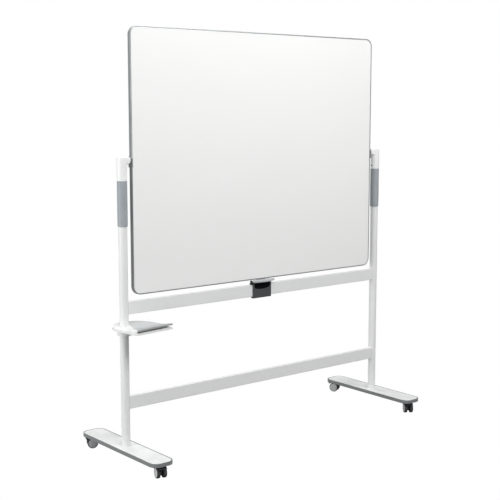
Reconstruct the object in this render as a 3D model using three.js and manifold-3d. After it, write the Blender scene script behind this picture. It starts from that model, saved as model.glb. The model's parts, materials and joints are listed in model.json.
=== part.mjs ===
// Rolling whiteboard: a two-sided writing board that turns over on pivots between two uprights.
// Millimetres. +X runs along the board's width, -Y is the front, +Z is up.
// The origin is on the floor, under the middle of the stand.

import * as THREE from 'three';
import { ConvexGeometry } from 'three/addons/geometries/ConvexGeometry.js';
import { mergeVertices } from 'three/addons/utils/BufferGeometryUtils.js';
import Module from 'manifold-3d';

const wasm = await Module();
wasm.setup();

// ---------- Driving dimensions ----------

const GAP = 0.3; // clearance between pieces that touch
const TUBE_SIDES = 24;
const PIN_SIDES = 12;

// Board
const BOARD_WIDTH = 1508;
const BOARD_HEIGHT = 1200;
const BOARD_DEPTH = 20;
const BOARD_CORNER = 40;
const RIM = 5; // width of the frame seen from the front
const PANEL = 0.5; // enamelled sheet
const PANEL_RECESS = 1.5; // the sheet lies this far behind the rim
const GROOVE = 2.5; // the core's edge enters the frame by this much
const CORE_LEDGE = 2; // the core's edge is thinner than the core by this much on each side

// Stand
const FOOT_TOP = 75;
const PIVOT_HEIGHT = 1367;
const UPRIGHT_X = 800;
const TUBE_RADIUS = 20;
const TUBE_WALL = 2;
const BAR_HEIGHT = 60;
const BAR_DEPTH = 20;
const BAR_WALL = 2;
const UPPER_BAR_BOTTOM = 683;
const LOWER_BAR_BOTTOM = 245;

// Grips and pivot heads at the top of the uprights
const SLEEVE_RADIUS = 23;
const GRIP_BOTTOM = 1083.5;
const HEAD_BOTTOM = 1286;
const TUBE_INTO_HEAD = 45;
const BOSS_END_X = 761;
const BOSS_HALF_DEPTH = 15;
const BOSS_UNDER_PIVOT = 8;
const PIN_RADIUS = 4;
const SPACER_RADIUS = 8; // shoulder of the pin between bracket and boss
const HEAD_SCREW_HEIGHT = 1304;
const BRACKET_ABOVE_PIVOT = 27.5;
const BRACKET_BELOW_PIVOT = 23;
const BRACKET_PLATE = 2.2;
const BRACKET_PROUD = 3.5;
const BRACKET_LIP = 4.9;

// Feet
const FOOT_LENGTH = 626;
const FOOT_WIDTH = 115;
const FOOT_BOTTOM = 57;
const FOOT_CORNER = 38;
const FOOT_RIM = 4.5;
const FOOT_FLOOR = 6;
const COVER_SKIN = 3;

// Casters
const CASTER_Y = 266;
const CASTER_TRAIL = 18; // from the swivel axis back to the wheels' axle
const WHEEL_RADIUS = 25;
const WHEEL_WIDTH = 16.7;
const WHEEL_SIDES = 20;
const CASTER_WIDTH = 48;
const WEB_HALF_THICKNESS = 6.5;
const HOOD_HALF_WIDTH = 20;
const HOOD_RADIUS = 30;
const HOOD_SHELL = 2.6;
const STEM_RADIUS = 4;
const AXLE_RADIUS = 3;
const PEDAL_TIP = 50; // from the swivel axis
const PEDAL_PIVOT = [35, 50]; // along the trail and above the floor
// Each caster trails its own way: the angle of the trail, counter-clockwise from +X, in degrees.
const CASTERS = [
  { name: 'front_left', x: -1, y: -1, trail: 255 },
  { name: 'front_right', x: 1, y: -1, trail: 237 },
  { name: 'rear_right', x: 1, y: 1, trail: 118.6 },
  { name: 'rear_left', x: -1, y: 1, trail: 157 },
];

// Latch in the middle of the upper bar
const LATCH_LEFT = -58.5;
const LATCH_RIGHT = 56;
const LATCH_PLATE = 5.7;
const LATCH_FLANGE = 5;
const LATCH_BOTTOM_LIP = 8;
const CHEEK = 7;
const SIDE_ARM = 7; // thickness of the plate beside the left cheek
const CHEEK_TOP = 762;
const LATCH_PIN_Y = -4;
const LATCH_PIN_Z = 757;
const LATCH_PIN_RADIUS = 2;
const LEVER_BARREL = 6;
const PAD_RADIUS = 9.3;
const PADDLE_LEFT = -67;
const PADDLE_RIGHT = 72;
const PADDLE_FRONT = -40;

// Tray on the left upright
const TRAY_BOTTOM = 618;
const TRAY_PLATE = 8;
const TRAY_TOP = 632;
const TRAY_TURN = 7; // degrees it stands turned round the upright, counter-clockwise from above
const TRAY_HALF_WIDTH = 109;
const TRAY_CENTRE_X = 43; // from the upright's axis toward the board
const TRAY_CENTRE_Y = -32;
const TRAY_FRONT = -162;
const TRAY_CORNER_LEFT = 22;
const TRAY_CORNER_RIGHT = 5;
const TRAY_RAMP_START = -88;
const TRAY_LIP = 645.5; // height of the hood's front edge over the slot
const HOOD_UNDERCUT = 6; // the hood's front face leans back by this much
const SLOT_DEPTH = 42;
const SLOT_LEFT = -55;
const SLOT_RIGHT = 152;
const SLOT_TOP_LEFT = 633; // height of the slot's ceiling at its two ends
const SLOT_TOP_RIGHT = 637;
const COLLAR_RADIUS = 33;
const COLLAR_HEIGHT = 29;

// ---------- Materials ----------

function paint(color, roughness, metalness = 0) {
  return new THREE.MeshStandardMaterial({ color, roughness, metalness });
}

const enamelWhite = paint(0xf4f5f4, 0.22);
const frameGrey = paint(0x8d9194, 0.4, 0.6);
const coatWhite = paint(0xe9ebeb, 0.4);
const gripGrey = paint(0x6f767b, 0.6);
const anthracite = paint(0x3d4144, 0.55);
const hubGrey = paint(0xb4b6b9, 0.5);
const tyreGrey = paint(0x3f4143, 0.75);
const hoodBlack = paint(0x1e2022, 0.5);
const steel = paint(0xb9bcbe, 0.35, 0.9);
const paddleGrey = paint(0xa9acae, 0.45);
const trayGrey = paint(0xc9cccd, 0.5);
const padRubber = paint(0x262728, 0.85);
const board = paint(0xb89b72, 0.9);

// ---------- Geometry helpers ----------

// Shares the corners of a geometry and drops the triangles that have shrunk to a line.
function weld(geometry) {
  geometry.deleteAttribute('normal');
  geometry.deleteAttribute('uv');
  const shared = mergeVertices(geometry, 1e-4);
  const corners = shared.index.array;
  const kept = [];
  for (let i = 0; i < corners.length; i += 3) {
    const [a, b, c] = [corners[i], corners[i + 1], corners[i + 2]];
    if (a !== b && b !== c && c !== a) kept.push(a, b, c);
  }
  shared.setIndex(kept);
  return shared;
}

function toSolid(geometry) {
  const shared = weld(geometry);
  return new wasm.Manifold(new wasm.Mesh({
    numProp: 3,
    vertProperties: new Float32Array(shared.attributes.position.array),
    triVerts: new Uint32Array(shared.index.array),
  }));
}

function toGeometry(solid) {
  const mesh = solid.getMesh();
  const geometry = new THREE.BufferGeometry();
  geometry.setAttribute('position', new THREE.BufferAttribute(mesh.vertProperties, 3));
  geometry.setIndex(new THREE.BufferAttribute(mesh.triVerts, 1));
  return geometry;
}

// The first geometry with the others cut out of it.
function cut(geometry, ...tools) {
  let solid = toSolid(geometry);
  for (const tool of tools) solid = solid.subtract(toSolid(tool));
  return toGeometry(solid);
}

function join(geometry, ...others) {
  let solid = toSolid(geometry);
  for (const other of others) solid = solid.add(toSolid(other));
  return toGeometry(solid);
}

function common(geometry, other) {
  return toGeometry(toSolid(geometry).intersect(toSolid(other)));
}

// A box given by its lowest and highest corners.
function box(low, high) {
  const size = high.map((value, i) => value - low[i]);
  const middle = high.map((value, i) => (value + low[i]) / 2);
  return new THREE.BoxGeometry(...size).translate(...middle);
}

// A round bar whose flat sides, not its corners, are tangent to the radius when flatsOut is true.
function bar(radius, length, sides, flatsOut = false) {
  const corner = flatsOut ? radius / Math.cos(Math.PI / sides) : radius;
  return new THREE.CylinderGeometry(corner, corner, length, sides);
}

function barX(radius, x0, x1, y, z, sides = PIN_SIDES) {
  return bar(radius, x1 - x0, sides).rotateZ(-Math.PI / 2).translate((x0 + x1) / 2, y, z);
}

function barY(radius, y0, y1, x, z, sides = PIN_SIDES) {
  return bar(radius, y1 - y0, sides).translate(x, (y0 + y1) / 2, z);
}

function barZ(radius, z0, z1, x, y, sides = PIN_SIDES) {
  return bar(radius, z1 - z0, sides).rotateX(Math.PI / 2).translate(x, y, (z0 + z1) / 2);
}

// A prism: an outline in its own plane pushed up by the height.
function prism(outline, height, curveSegments = 3) {
  return new THREE.ExtrudeGeometry(outline, { depth: height, bevelEnabled: false, curveSegments });
}

// A prism whose outline is drawn with (x, z) and which fills y0 to y1.
function prismAlongY(outline, y0, y1, curveSegments = 3) {
  return prism(outline, y1 - y0, curveSegments).rotateX(Math.PI / 2).translate(0, y1, 0);
}

// A prism whose outline is drawn with (y, z) and which fills x0 to x1.
function prismAlongX(outline, x0, x1, curveSegments = 3) {
  return prism(outline, x1 - x0, curveSegments)
    .applyMatrix4(new THREE.Matrix4().set(0, 0, 1, 0, 1, 0, 0, 0, 0, 1, 0, 0, 0, 0, 0, 1))
    .translate(x0, 0, 0);
}

function roundedRectangle(width, height, radius) {
  const [x, y] = [width / 2 - radius, height / 2 - radius];
  const outline = new THREE.Shape();
  outline.absarc(x, y, radius, 0, Math.PI / 2);
  outline.absarc(-x, y, radius, Math.PI / 2, Math.PI);
  outline.absarc(-x, -y, radius, Math.PI, Math.PI * 1.5);
  outline.absarc(x, -y, radius, Math.PI * 1.5, Math.PI * 2);
  outline.closePath();
  return outline;
}

function polygon(points) {
  return new THREE.Shape(points.map(([x, y]) => new THREE.Vector2(x, y)));
}

const group = new THREE.Group();

function addPart(parent, name, geometry, material) {
  const mesh = new THREE.Mesh(geometry, material);
  mesh.name = name;
  parent.add(mesh);
  return mesh;
}

const SIDES = [
  { name: 'left', sign: -1 },
  { name: 'right', sign: 1 },
];

// ---------- Board: turns on the pivot pins, drawn about its own middle ----------

const boardGroup = new THREE.Group();
boardGroup.position.z = PIVOT_HEIGHT;
group.add(boardGroup);

// A rounded slab as wide and high as the board less the inset all round, from y0 to y1.
function boardSlab(inset, y0, y1) {
  const width = BOARD_WIDTH - 2 * inset;
  const height = BOARD_HEIGHT - 2 * inset;
  return prismAlongY(roundedRectangle(width, height, BOARD_CORNER - inset), y0, y1);
}

const panelFace = BOARD_DEPTH / 2 - PANEL_RECESS;
const coreHalf = panelFace - PANEL - GAP;
const coreEdgeHalf = coreHalf - CORE_LEDGE;

function frameRing() {
  const outer = BOARD_DEPTH / 2;
  const groove = boardSlab(RIM - GROOVE, -coreEdgeHalf - GAP, coreEdgeHalf + GAP);
  const ring = cut(boardSlab(0, -outer, outer), boardSlab(RIM, -outer - 1, outer + 1), groove);
  const pinHole = barX(PIN_RADIUS + GAP, -BOARD_WIDTH, BOARD_WIDTH, 0, 0);
  return cut(ring, pinHole);
}

addPart(boardGroup, 'board_frame', frameRing(), frameGrey);
addPart(boardGroup, 'front_panel', boardSlab(RIM + GAP, -panelFace, PANEL - panelFace), enamelWhite);
addPart(boardGroup, 'rear_panel', boardSlab(RIM + GAP, panelFace - PANEL, panelFace), enamelWhite);
addPart(
  boardGroup,
  'board_core',
  join(
    boardSlab(RIM + GAP, -coreHalf, coreHalf),
    boardSlab(RIM - GROOVE + GAP, -coreEdgeHalf, coreEdgeHalf),
  ),
  board,
);

// A clip that wraps the frame's edge, seen from above as a channel with short lips.
function pivotBracket(sign) {
  const edge = BOARD_WIDTH / 2;
  const [bottom, top] = [-BRACKET_BELOW_PIVOT, BRACKET_ABOVE_PIVOT];
  const reach = BOARD_DEPTH / 2 + BRACKET_PROUD;
  const chamfer = 7;
  const outline = polygon([
    [-reach, bottom], [reach, bottom], [reach, top - chamfer], [reach - chamfer / 2, top],
    [chamfer / 2 - reach, top], [-reach, top - chamfer],
  ]);
  const block = prismAlongX(outline, edge - BRACKET_LIP, edge + GAP + BRACKET_PLATE);
  const channel = box(
    [0, -BOARD_DEPTH / 2 - GAP, bottom - 1],
    [edge + GAP, BOARD_DEPTH / 2 + GAP, top + 1],
  );
  const clip = cut(block, channel, barX(PIN_RADIUS + GAP, edge - 1, edge + 10, 0, 0));
  return sign > 0 ? clip : clip.rotateZ(Math.PI);
}

// A pin through the frame's edge and the bracket, with a shoulder that meets the pivot head.
function pivotPin(sign) {
  const inner = BOARD_WIDTH / 2 - GROOVE + GAP;
  const bracketFace = BOARD_WIDTH / 2 + GAP + BRACKET_PLATE;
  const shaft = barX(PIN_RADIUS, inner, UPRIGHT_X - 12, 0, 0);
  const shoulder = barX(SPACER_RADIUS, bracketFace + GAP, BOSS_END_X - GAP, 0, 0, 16);
  return join(shaft, shoulder).rotateZ(sign > 0 ? 0 : Math.PI);
}

for (const { name, sign } of SIDES) {
  addPart(boardGroup, `pivot_bracket_${name}`, pivotBracket(sign), frameGrey);
  addPart(boardGroup, `pivot_pin_${name}`, pivotPin(sign), steel);
}

// ---------- Stand: uprights, grips, pivot heads and crossbars ----------

const standGroup = new THREE.Group();
group.add(standGroup);

const footFloorTop = FOOT_BOTTOM + FOOT_FLOOR;
const tubeBottom = footFloorTop + GAP;
const tubeTop = HEAD_BOTTOM + TUBE_INTO_HEAD;
const headTop = PIVOT_HEIGHT + SLEEVE_RADIUS;
const screwRadius = 3;

function headScrewHole(sign) {
  const far = UPRIGHT_X - SLEEVE_RADIUS - 5;
  return barX(screwRadius + GAP, far, UPRIGHT_X - 10, 0, HEAD_SCREW_HEIGHT)
    .rotateZ(sign > 0 ? 0 : Math.PI);
}

function upright(sign) {
  const x = sign * UPRIGHT_X;
  const outside = barZ(TUBE_RADIUS, tubeBottom, tubeTop, x, 0, TUBE_SIDES);
  const inside = barZ(TUBE_RADIUS - TUBE_WALL, tubeBottom - 1, tubeTop + 1, x, 0, TUBE_SIDES);
  return cut(outside, inside, headScrewHole(sign));
}

// A sleeve with shallow rings near both ends, turned about the upright's axis.
function grip(sign) {
  const bore = TUBE_RADIUS + GAP;
  const [bottom, top] = [GRIP_BOTTOM, HEAD_BOTTOM - GAP];
  const rings = [12, 22];
  const heights = [...rings.map((r) => bottom + r), ...rings.map((r) => top - r).reverse()];
  const profile = [[bore, bottom], [SLEEVE_RADIUS - 1, bottom], [SLEEVE_RADIUS, bottom + 1]];
  for (const z of heights) {
    profile.push([SLEEVE_RADIUS, z - 1.5], [SLEEVE_RADIUS - 0.8, z], [SLEEVE_RADIUS, z + 1.5]);
  }
  profile.push([SLEEVE_RADIUS, top - 1], [SLEEVE_RADIUS - 1, top], [bore, top], [bore, bottom]);
  const points = profile.map(([r, z]) => new THREE.Vector2(r, z));
  return weld(new THREE.LatheGeometry(points, TUBE_SIDES).rotateX(Math.PI / 2)
    .translate(sign * UPRIGHT_X, 0, 0));
}

// A cap over the tube's end with a boss toward the board that holds the pivot pin.
function pivotHead(sign) {
  const bossBottom = PIVOT_HEIGHT - BOSS_UNDER_PIVOT;
  const rootX = UPRIGHT_X - SLEEVE_RADIUS + 3;
  const outline = new THREE.Shape();
  outline.moveTo(UPRIGHT_X, headTop);
  outline.lineTo(BOSS_END_X + 5, headTop);
  outline.absarc(BOSS_END_X + 5, headTop - 5, 5, Math.PI / 2, Math.PI);
  outline.lineTo(BOSS_END_X, bossBottom);
  outline.quadraticCurveTo(rootX, bossBottom, rootX, bossBottom - 16);
  outline.lineTo(UPRIGHT_X, bossBottom - 16);
  const boss = prismAlongY(outline, -BOSS_HALF_DEPTH, BOSS_HALF_DEPTH, 4);
  const head = join(barZ(SLEEVE_RADIUS, HEAD_BOTTOM, headTop, UPRIGHT_X, 0, TUBE_SIDES), boss);
  const tubeHole = barZ(
    TUBE_RADIUS + GAP, HEAD_BOTTOM - 1, tubeTop + GAP, UPRIGHT_X, 0, TUBE_SIDES,
  );
  const pinHole = barX(PIN_RADIUS + GAP, BOSS_END_X - 1, UPRIGHT_X - 12 + GAP, 0, PIVOT_HEIGHT);
  const open = cut(head, tubeHole, pinHole, headScrewHole(1));
  return sign > 0 ? open : open.rotateZ(Math.PI);
}

function headScrew(sign) {
  const faceX = UPRIGHT_X - SLEEVE_RADIUS;
  const shank = barX(screwRadius, faceX - 1, UPRIGHT_X - 14, 0, HEAD_SCREW_HEIGHT);
  const head = barX(screwRadius + 1, faceX - 2, faceX - GAP, 0, HEAD_SCREW_HEIGHT);
  return join(shank, head).rotateZ(sign > 0 ? 0 : Math.PI);
}

// A rectangular tube coped at both ends to the round uprights.
function crossbar(bottom) {
  const half = BAR_DEPTH / 2;
  const reach = UPRIGHT_X - TUBE_RADIUS + 6;
  const outside = box([-reach, -half, bottom], [reach, half, bottom + BAR_HEIGHT]);
  const inside = box(
    [-reach - 1, BAR_WALL - half, bottom + BAR_WALL],
    [reach + 1, half - BAR_WALL, bottom + BAR_HEIGHT - BAR_WALL],
  );
  const copes = SIDES.map(({ sign }) => barZ(
    TUBE_RADIUS + GAP, bottom - 1, bottom + BAR_HEIGHT + 1, sign * UPRIGHT_X, 0, TUBE_SIDES,
  ));
  return cut(outside, inside, ...copes);
}

for (const { name, sign } of SIDES) {
  addPart(standGroup, `upright_${name}`, upright(sign), coatWhite);
  addPart(standGroup, `grip_${name}`, grip(sign), gripGrey);
  addPart(standGroup, `pivot_head_${name}`, pivotHead(sign), coatWhite);
  addPart(standGroup, `head_screw_${name}`, headScrew(sign), steel);
}
addPart(standGroup, 'crossbar_upper', crossbar(UPPER_BAR_BOTTOM), coatWhite);
addPart(standGroup, 'crossbar_lower', crossbar(LOWER_BAR_BOTTOM), coatWhite);

// ---------- Feet: a dished base, a cover let into it, and the bolt that holds the upright ----------

const stemBossTop = FOOT_BOTTOM + 13;
const boltRadius = 5;
const plugHeight = 30;

function footPlan(inset) {
  return roundedRectangle(FOOT_WIDTH - 2 * inset, FOOT_LENGTH - 2 * inset, FOOT_CORNER - inset);
}

function footBase() {
  const outside = prism(footPlan(0), FOOT_TOP - FOOT_BOTTOM).translate(0, 0, FOOT_BOTTOM);
  const dish = prism(footPlan(FOOT_RIM), FOOT_TOP).translate(0, 0, footFloorTop);
  const bosses = [-1, 1].map((end) => barZ(
    STEM_RADIUS * 2.5, FOOT_BOTTOM + 1, stemBossTop, 0, end * CASTER_Y,
  ));
  const stemHoles = [-1, 1].map((end) => barZ(
    STEM_RADIUS + GAP, FOOT_BOTTOM - 1, stemBossTop - 2, 0, end * CASTER_Y,
  ));
  const boltHole = barZ(boltRadius + GAP, FOOT_BOTTOM - 1, footFloorTop + 1, 0, 0);
  return cut(join(cut(outside, dish), ...bosses), ...stemHoles, boltHole);
}

function footCover() {
  const inset = FOOT_RIM + GAP;
  const outside = prism(footPlan(inset), FOOT_TOP - footFloorTop - GAP)
    .translate(0, 0, footFloorTop + GAP);
  const hollow = prism(footPlan(inset + COVER_SKIN), FOOT_TOP - COVER_SKIN - footFloorTop + 1)
    .translate(0, 0, footFloorTop - 1);
  return cut(outside, hollow, barZ(TUBE_RADIUS + GAP, 0, FOOT_TOP + 1, 0, 0, TUBE_SIDES));
}

function footBolt() {
  const head = barZ(boltRadius * 1.7, FOOT_BOTTOM - 6.5, FOOT_BOTTOM - GAP, 0, 0, 6);
  const shank = barZ(boltRadius, FOOT_BOTTOM - 1, tubeBottom + plugHeight - 5, 0, 0);
  return join(head, shank);
}

function tubePlug() {
  const block = barZ(
    TUBE_RADIUS - TUBE_WALL - GAP, tubeBottom, tubeBottom + plugHeight, 0, 0, TUBE_SIDES,
  );
  return cut(block, barZ(boltRadius + GAP, 0, tubeBottom + plugHeight + 1, 0, 0));
}

for (const { name, sign } of SIDES) {
  const foot = new THREE.Group();
  foot.position.x = sign * UPRIGHT_X;
  standGroup.add(foot);
  addPart(foot, `foot_base_${name}`, footBase(), gripGrey);
  addPart(foot, `foot_cover_${name}`, footCover(), coatWhite);
  addPart(foot, `foot_bolt_${name}`, footBolt(), steel);
  addPart(foot, `tube_plug_${name}`, tubePlug(), anthracite);
}

// ---------- Casters: drawn with +X along the trail and the swivel axis through the origin ----------

const hoodTop = WHEEL_RADIUS + HOOD_RADIUS;
const wheelInner = CASTER_WIDTH / 2 - WHEEL_WIDTH;

// Turns on the stem; the web between the wheels carries the axle, the shell covers their tops.
function casterHood() {
  const [pedalX, pedalZ] = PEDAL_PIVOT;
  const shell = new THREE.Shape();
  const [from, to] = [THREE.MathUtils.degToRad(64), THREE.MathUtils.degToRad(158)];
  shell.absarc(CASTER_TRAIL, WHEEL_RADIUS, HOOD_RADIUS, from, to, false);
  shell.absarc(CASTER_TRAIL, WHEEL_RADIUS, HOOD_RADIUS - HOOD_SHELL, to, from, true);
  const web = polygon([
    [-8.5, 20], [-4, 9], [12, 9], [26, 12], [28, 22], [28, 51], [18, hoodTop - 0.5], [-5, 45], [-8.5, 40],
  ]);
  const neck = polygon([[-8, 38], [12, 38], [12, hoodTop], [-4, hoodTop], [-8, hoodTop - 4]]);
  const lug = polygon([
    [26, 51.5], [28, 50], [pedalX + 3, pedalZ - 3], [pedalX + 3, pedalZ + 2], [30, hoodTop - 2.5],
  ]);
  const lugInner = HOOD_HALF_WIDTH;
  const lugOuter = HOOD_HALF_WIDTH + 2;
  const solid = join(
    prismAlongY(shell, -lugOuter, lugOuter, 4),
    prismAlongY(web, -WEB_HALF_THICKNESS, WEB_HALF_THICKNESS),
    prismAlongY(neck, -WEB_HALF_THICKNESS, WEB_HALF_THICKNESS),
    prismAlongY(lug, lugInner, lugOuter),
    prismAlongY(lug, -lugOuter, -lugInner),
    barY(1.6, lugInner - 4, lugInner + 1, pedalX, pedalZ, 8),
    barY(1.6, -lugInner - 1, 4 - lugInner, pedalX, pedalZ, 8),
  );
  return cut(
    solid,
    barZ(STEM_RADIUS + GAP, 18, hoodTop + 1, 0, 0),
    barY(AXLE_RADIUS + GAP, -30, 30, CASTER_TRAIL, WHEEL_RADIUS),
  );
}

function casterStem() {
  const flange = barZ(10, hoodTop + GAP, FOOT_BOTTOM - GAP, 0, 0);
  return join(flange, barZ(STEM_RADIUS, 20, stemBossTop - 3, 0, 0));
}

function casterAxle() {
  const half = CASTER_WIDTH / 2 - 5;
  return barY(AXLE_RADIUS, -half, half, CASTER_TRAIL, WHEEL_RADIUS);
}

// One wheel with its bore on the inner side; side is +1 or -1 across the caster.
function casterWheel(side) {
  const bore = AXLE_RADIUS + GAP;
  const outer = CASTER_WIDTH / 2;
  const corner = WHEEL_RADIUS / Math.cos(Math.PI / WHEEL_SIDES);
  const profile = [
    [0, outer - 4], [bore, outer - 4], [bore, wheelInner], [corner - 3, wheelInner],
    [corner, wheelInner + 3], [corner, outer - 4], [corner - 3, outer - 1], [corner - 8, outer],
    [0, outer],
  ];
  const points = profile.map(([r, y]) => new THREE.Vector2(r, y));
  const wheel = new THREE.LatheGeometry(points, WHEEL_SIDES)
    .rotateY(Math.PI / WHEEL_SIDES);
  if (side < 0) wheel.rotateX(Math.PI);
  return weld(wheel.translate(CASTER_TRAIL, 0, WHEEL_RADIUS));
}

// Pressed down, its underside grips the tyres.
function brakePedal() {
  const [x, z] = PEDAL_PIVOT;
  const outline = new THREE.Shape();
  outline.absarc(x, z, 3.6, Math.PI * 0.45, Math.PI * 1.45);
  outline.lineTo(PEDAL_TIP - 3, 44.5);
  outline.lineTo(PEDAL_TIP, 46);
  outline.lineTo(PEDAL_TIP, 49);
  outline.closePath();
  const half = HOOD_HALF_WIDTH - GAP;
  return cut(prismAlongY(outline, -half, half), barY(1.6 + GAP, -30, 30, x, z, 8));
}

for (const { name, x, y, trail } of CASTERS) {
  const caster = new THREE.Group();
  caster.position.set(x * UPRIGHT_X, y * CASTER_Y, 0);
  caster.rotation.z = THREE.MathUtils.degToRad(trail);
  group.add(caster);
  addPart(caster, `caster_stem_${name}`, casterStem(), steel);
  addPart(caster, `caster_hood_${name}`, casterHood(), hoodBlack);
  addPart(caster, `caster_axle_${name}`, casterAxle(), steel);
  addPart(caster, `wheel_a_${name}`, casterWheel(1), tyreGrey);
  addPart(caster, `wheel_b_${name}`, casterWheel(-1), tyreGrey);
  addPart(caster, `brake_pedal_${name}`, brakePedal(), hoodBlack);
}

// ---------- Latch: holds the board upright from under its lower edge ----------

const barTop = UPPER_BAR_BOTTOM + BAR_HEIGHT;
const latchFront = -BAR_DEPTH / 2 - GAP - LATCH_PLATE;
const latchBack = BAR_DEPTH / 2 + 3;
const flangeTop = barTop + GAP + LATCH_FLANGE;

// A clip over the bar's front, with a scooped front and two cheeks for the lever's pin.
function latchBase() {
  const outline = polygon([
    [latchFront, UPPER_BAR_BOTTOM - LATCH_BOTTOM_LIP], [2, UPPER_BAR_BOTTOM - LATCH_BOTTOM_LIP],
    [2, UPPER_BAR_BOTTOM - GAP], [-BAR_DEPTH / 2 - GAP, UPPER_BAR_BOTTOM - GAP],
    [-BAR_DEPTH / 2 - GAP, barTop + GAP], [BAR_DEPTH / 2 + GAP, barTop + GAP],
    [BAR_DEPTH / 2 + GAP, barTop - 10], [latchBack, barTop - 10],
    [latchBack, flangeTop], [latchFront, flangeTop],
  ]);
  const clip = prismAlongX(outline, LATCH_LEFT, LATCH_RIGHT);
  const cheekOutline = polygon([
    [latchFront, flangeTop - 1], [latchBack, flangeTop - 1], [3, CHEEK_TOP], [-11, CHEEK_TOP],
  ]);
  const scoop = new THREE.Shape();
  scoop.moveTo(LATCH_LEFT + CHEEK, barTop + 20);
  scoop.lineTo(LATCH_LEFT + CHEEK, 729);
  scoop.quadraticCurveTo((LATCH_LEFT + LATCH_RIGHT) / 2, 707, LATCH_RIGHT - CHEEK, 729);
  scoop.lineTo(LATCH_RIGHT - CHEEK, barTop + 20);
  return cut(
    join(
      clip,
      prismAlongX(cheekOutline, LATCH_LEFT, LATCH_LEFT + CHEEK),
      prismAlongX(cheekOutline, LATCH_RIGHT - CHEEK, LATCH_RIGHT),
    ),
    prismAlongY(scoop, latchFront - 1, latchFront + 3.7, 4),
    barX(LATCH_PIN_RADIUS + GAP, LATCH_LEFT - 1, LATCH_RIGHT + 1, LATCH_PIN_Y, LATCH_PIN_Z, 12),
  );
}

// A small upright plate beside the clip that carries the pin's left end.
function latchSideArm() {
  const outline = polygon([
    [-14, barTop + GAP], [3, barTop + GAP], [1, 764], [-11, 764], [-14, 760],
  ]);
  return cut(
    prismAlongX(outline, LATCH_LEFT - GAP - SIDE_ARM, LATCH_LEFT - GAP),
    barX(LATCH_PIN_RADIUS + GAP, -100, 0, LATCH_PIN_Y, LATCH_PIN_Z, 12),
  );
}

// Part of a ring about the pin, between two angles in degrees from +Y.
function padSection(inner, outer, startAngle, endAngle) {
  const ring = new THREE.Shape();
  const [from, to] = [startAngle, endAngle].map(THREE.MathUtils.degToRad);
  ring.absarc(LATCH_PIN_Y, LATCH_PIN_Z, outer, from, to, false);
  ring.absarc(LATCH_PIN_Y, LATCH_PIN_Z, inner, to, from, true);
  return ring;
}

// A paddle with a bowed front edge, on a barrel that turns on the pin.
function latchLever() {
  const left = LATCH_LEFT + CHEEK + 1;
  const right = LATCH_RIGHT - CHEEK - 1;
  const middle = (PADDLE_LEFT + PADDLE_RIGHT) / 2;
  const plan = new THREE.Shape();
  plan.moveTo(left, LATCH_PIN_Y);
  plan.lineTo(left, latchFront - 2);
  plan.lineTo(PADDLE_LEFT, latchFront - 2);
  plan.lineTo(PADDLE_LEFT, latchFront - 9);
  plan.quadraticCurveTo(middle - 35, PADDLE_FRONT, middle, PADDLE_FRONT);
  plan.quadraticCurveTo(middle + 35, PADDLE_FRONT, PADDLE_RIGHT, latchFront - 9);
  plan.lineTo(PADDLE_RIGHT, latchFront - 2);
  plan.lineTo(right, latchFront - 2);
  plan.lineTo(right, LATCH_PIN_Y);
  const side = polygon([
    [LATCH_PIN_Y, 753], [-20, 758], [-33, 754.5], [PADDLE_FRONT - 1, 754.5],
    [PADDLE_FRONT - 1, 765], [-34, 766.2], [-9.5, 766.2], [LATCH_PIN_Y, 762.5],
  ]);
  const paddle = common(
    prism(plan, 60, 6).translate(0, 0, 720),
    prismAlongX(side, PADDLE_LEFT - 1, PADDLE_RIGHT + 1),
  );
  const barrel = barX(LEVER_BARREL, left, right, LATCH_PIN_Y, LATCH_PIN_Z, PIN_SIDES);
  const pinHole = barX(LATCH_PIN_RADIUS + GAP, -100, 100, LATCH_PIN_Y, LATCH_PIN_Z, 12);
  const padSeat = prismAlongX(padSection(LEVER_BARREL - 1, PAD_RADIUS + GAP, 54, 126), -30.5, 25.5);
  return cut(join(cut(paddle, padSeat), barrel), pinHole);
}

// Rubber on top of the barrel, concentric with the pin.
function latchPad() {
  return prismAlongX(padSection(LEVER_BARREL + GAP + 0.2, PAD_RADIUS, 62, 118), -30, 25);
}

addPart(standGroup, 'latch_base', latchBase(), anthracite);
addPart(standGroup, 'latch_side_arm', latchSideArm(), hoodBlack);
addPart(
  standGroup,
  'latch_pin',
  barX(LATCH_PIN_RADIUS, LATCH_LEFT - SIDE_ARM - 2, LATCH_RIGHT - 1, LATCH_PIN_Y, LATCH_PIN_Z, 12),
  steel,
);
addPart(standGroup, 'latch_lever', latchLever(), paddleGrey);
addPart(standGroup, 'latch_pad', latchPad(), padRubber);

// ---------- Tray: swings round the left upright on a collar, drawn about the upright's axis ----------

const trayGroup = new THREE.Group();
trayGroup.position.x = -UPRIGHT_X;
trayGroup.rotation.z = THREE.MathUtils.degToRad(TRAY_TURN);
group.add(trayGroup);

// Straight at the front and sides, half round at the back.
function trayPlan(inset = 0) {
  const half = TRAY_HALF_WIDTH - inset;
  const [leftCorner, rightCorner] = [TRAY_CORNER_LEFT, TRAY_CORNER_RIGHT];
  const [left, right] = [TRAY_CENTRE_X - half, TRAY_CENTRE_X + half];
  const front = TRAY_FRONT + inset;
  const outline = new THREE.Shape();
  outline.absarc(TRAY_CENTRE_X, TRAY_CENTRE_Y, half, 0, Math.PI);
  outline.absarc(left + leftCorner, front + leftCorner, leftCorner, Math.PI, Math.PI * 1.5);
  outline.absarc(
    right - rightCorner, front + rightCorner, rightCorner, Math.PI * 1.5, Math.PI * 2,
  );
  outline.closePath();
  return outline;
}

function uprightHole() {
  return barZ(TUBE_RADIUS + GAP, 500, 700, 0, 0, TUBE_SIDES);
}

function trayLower() {
  return cut(prism(trayPlan(), TRAY_PLATE, 6).translate(0, 0, TRAY_BOTTOM), uprightHole());
}

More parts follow.
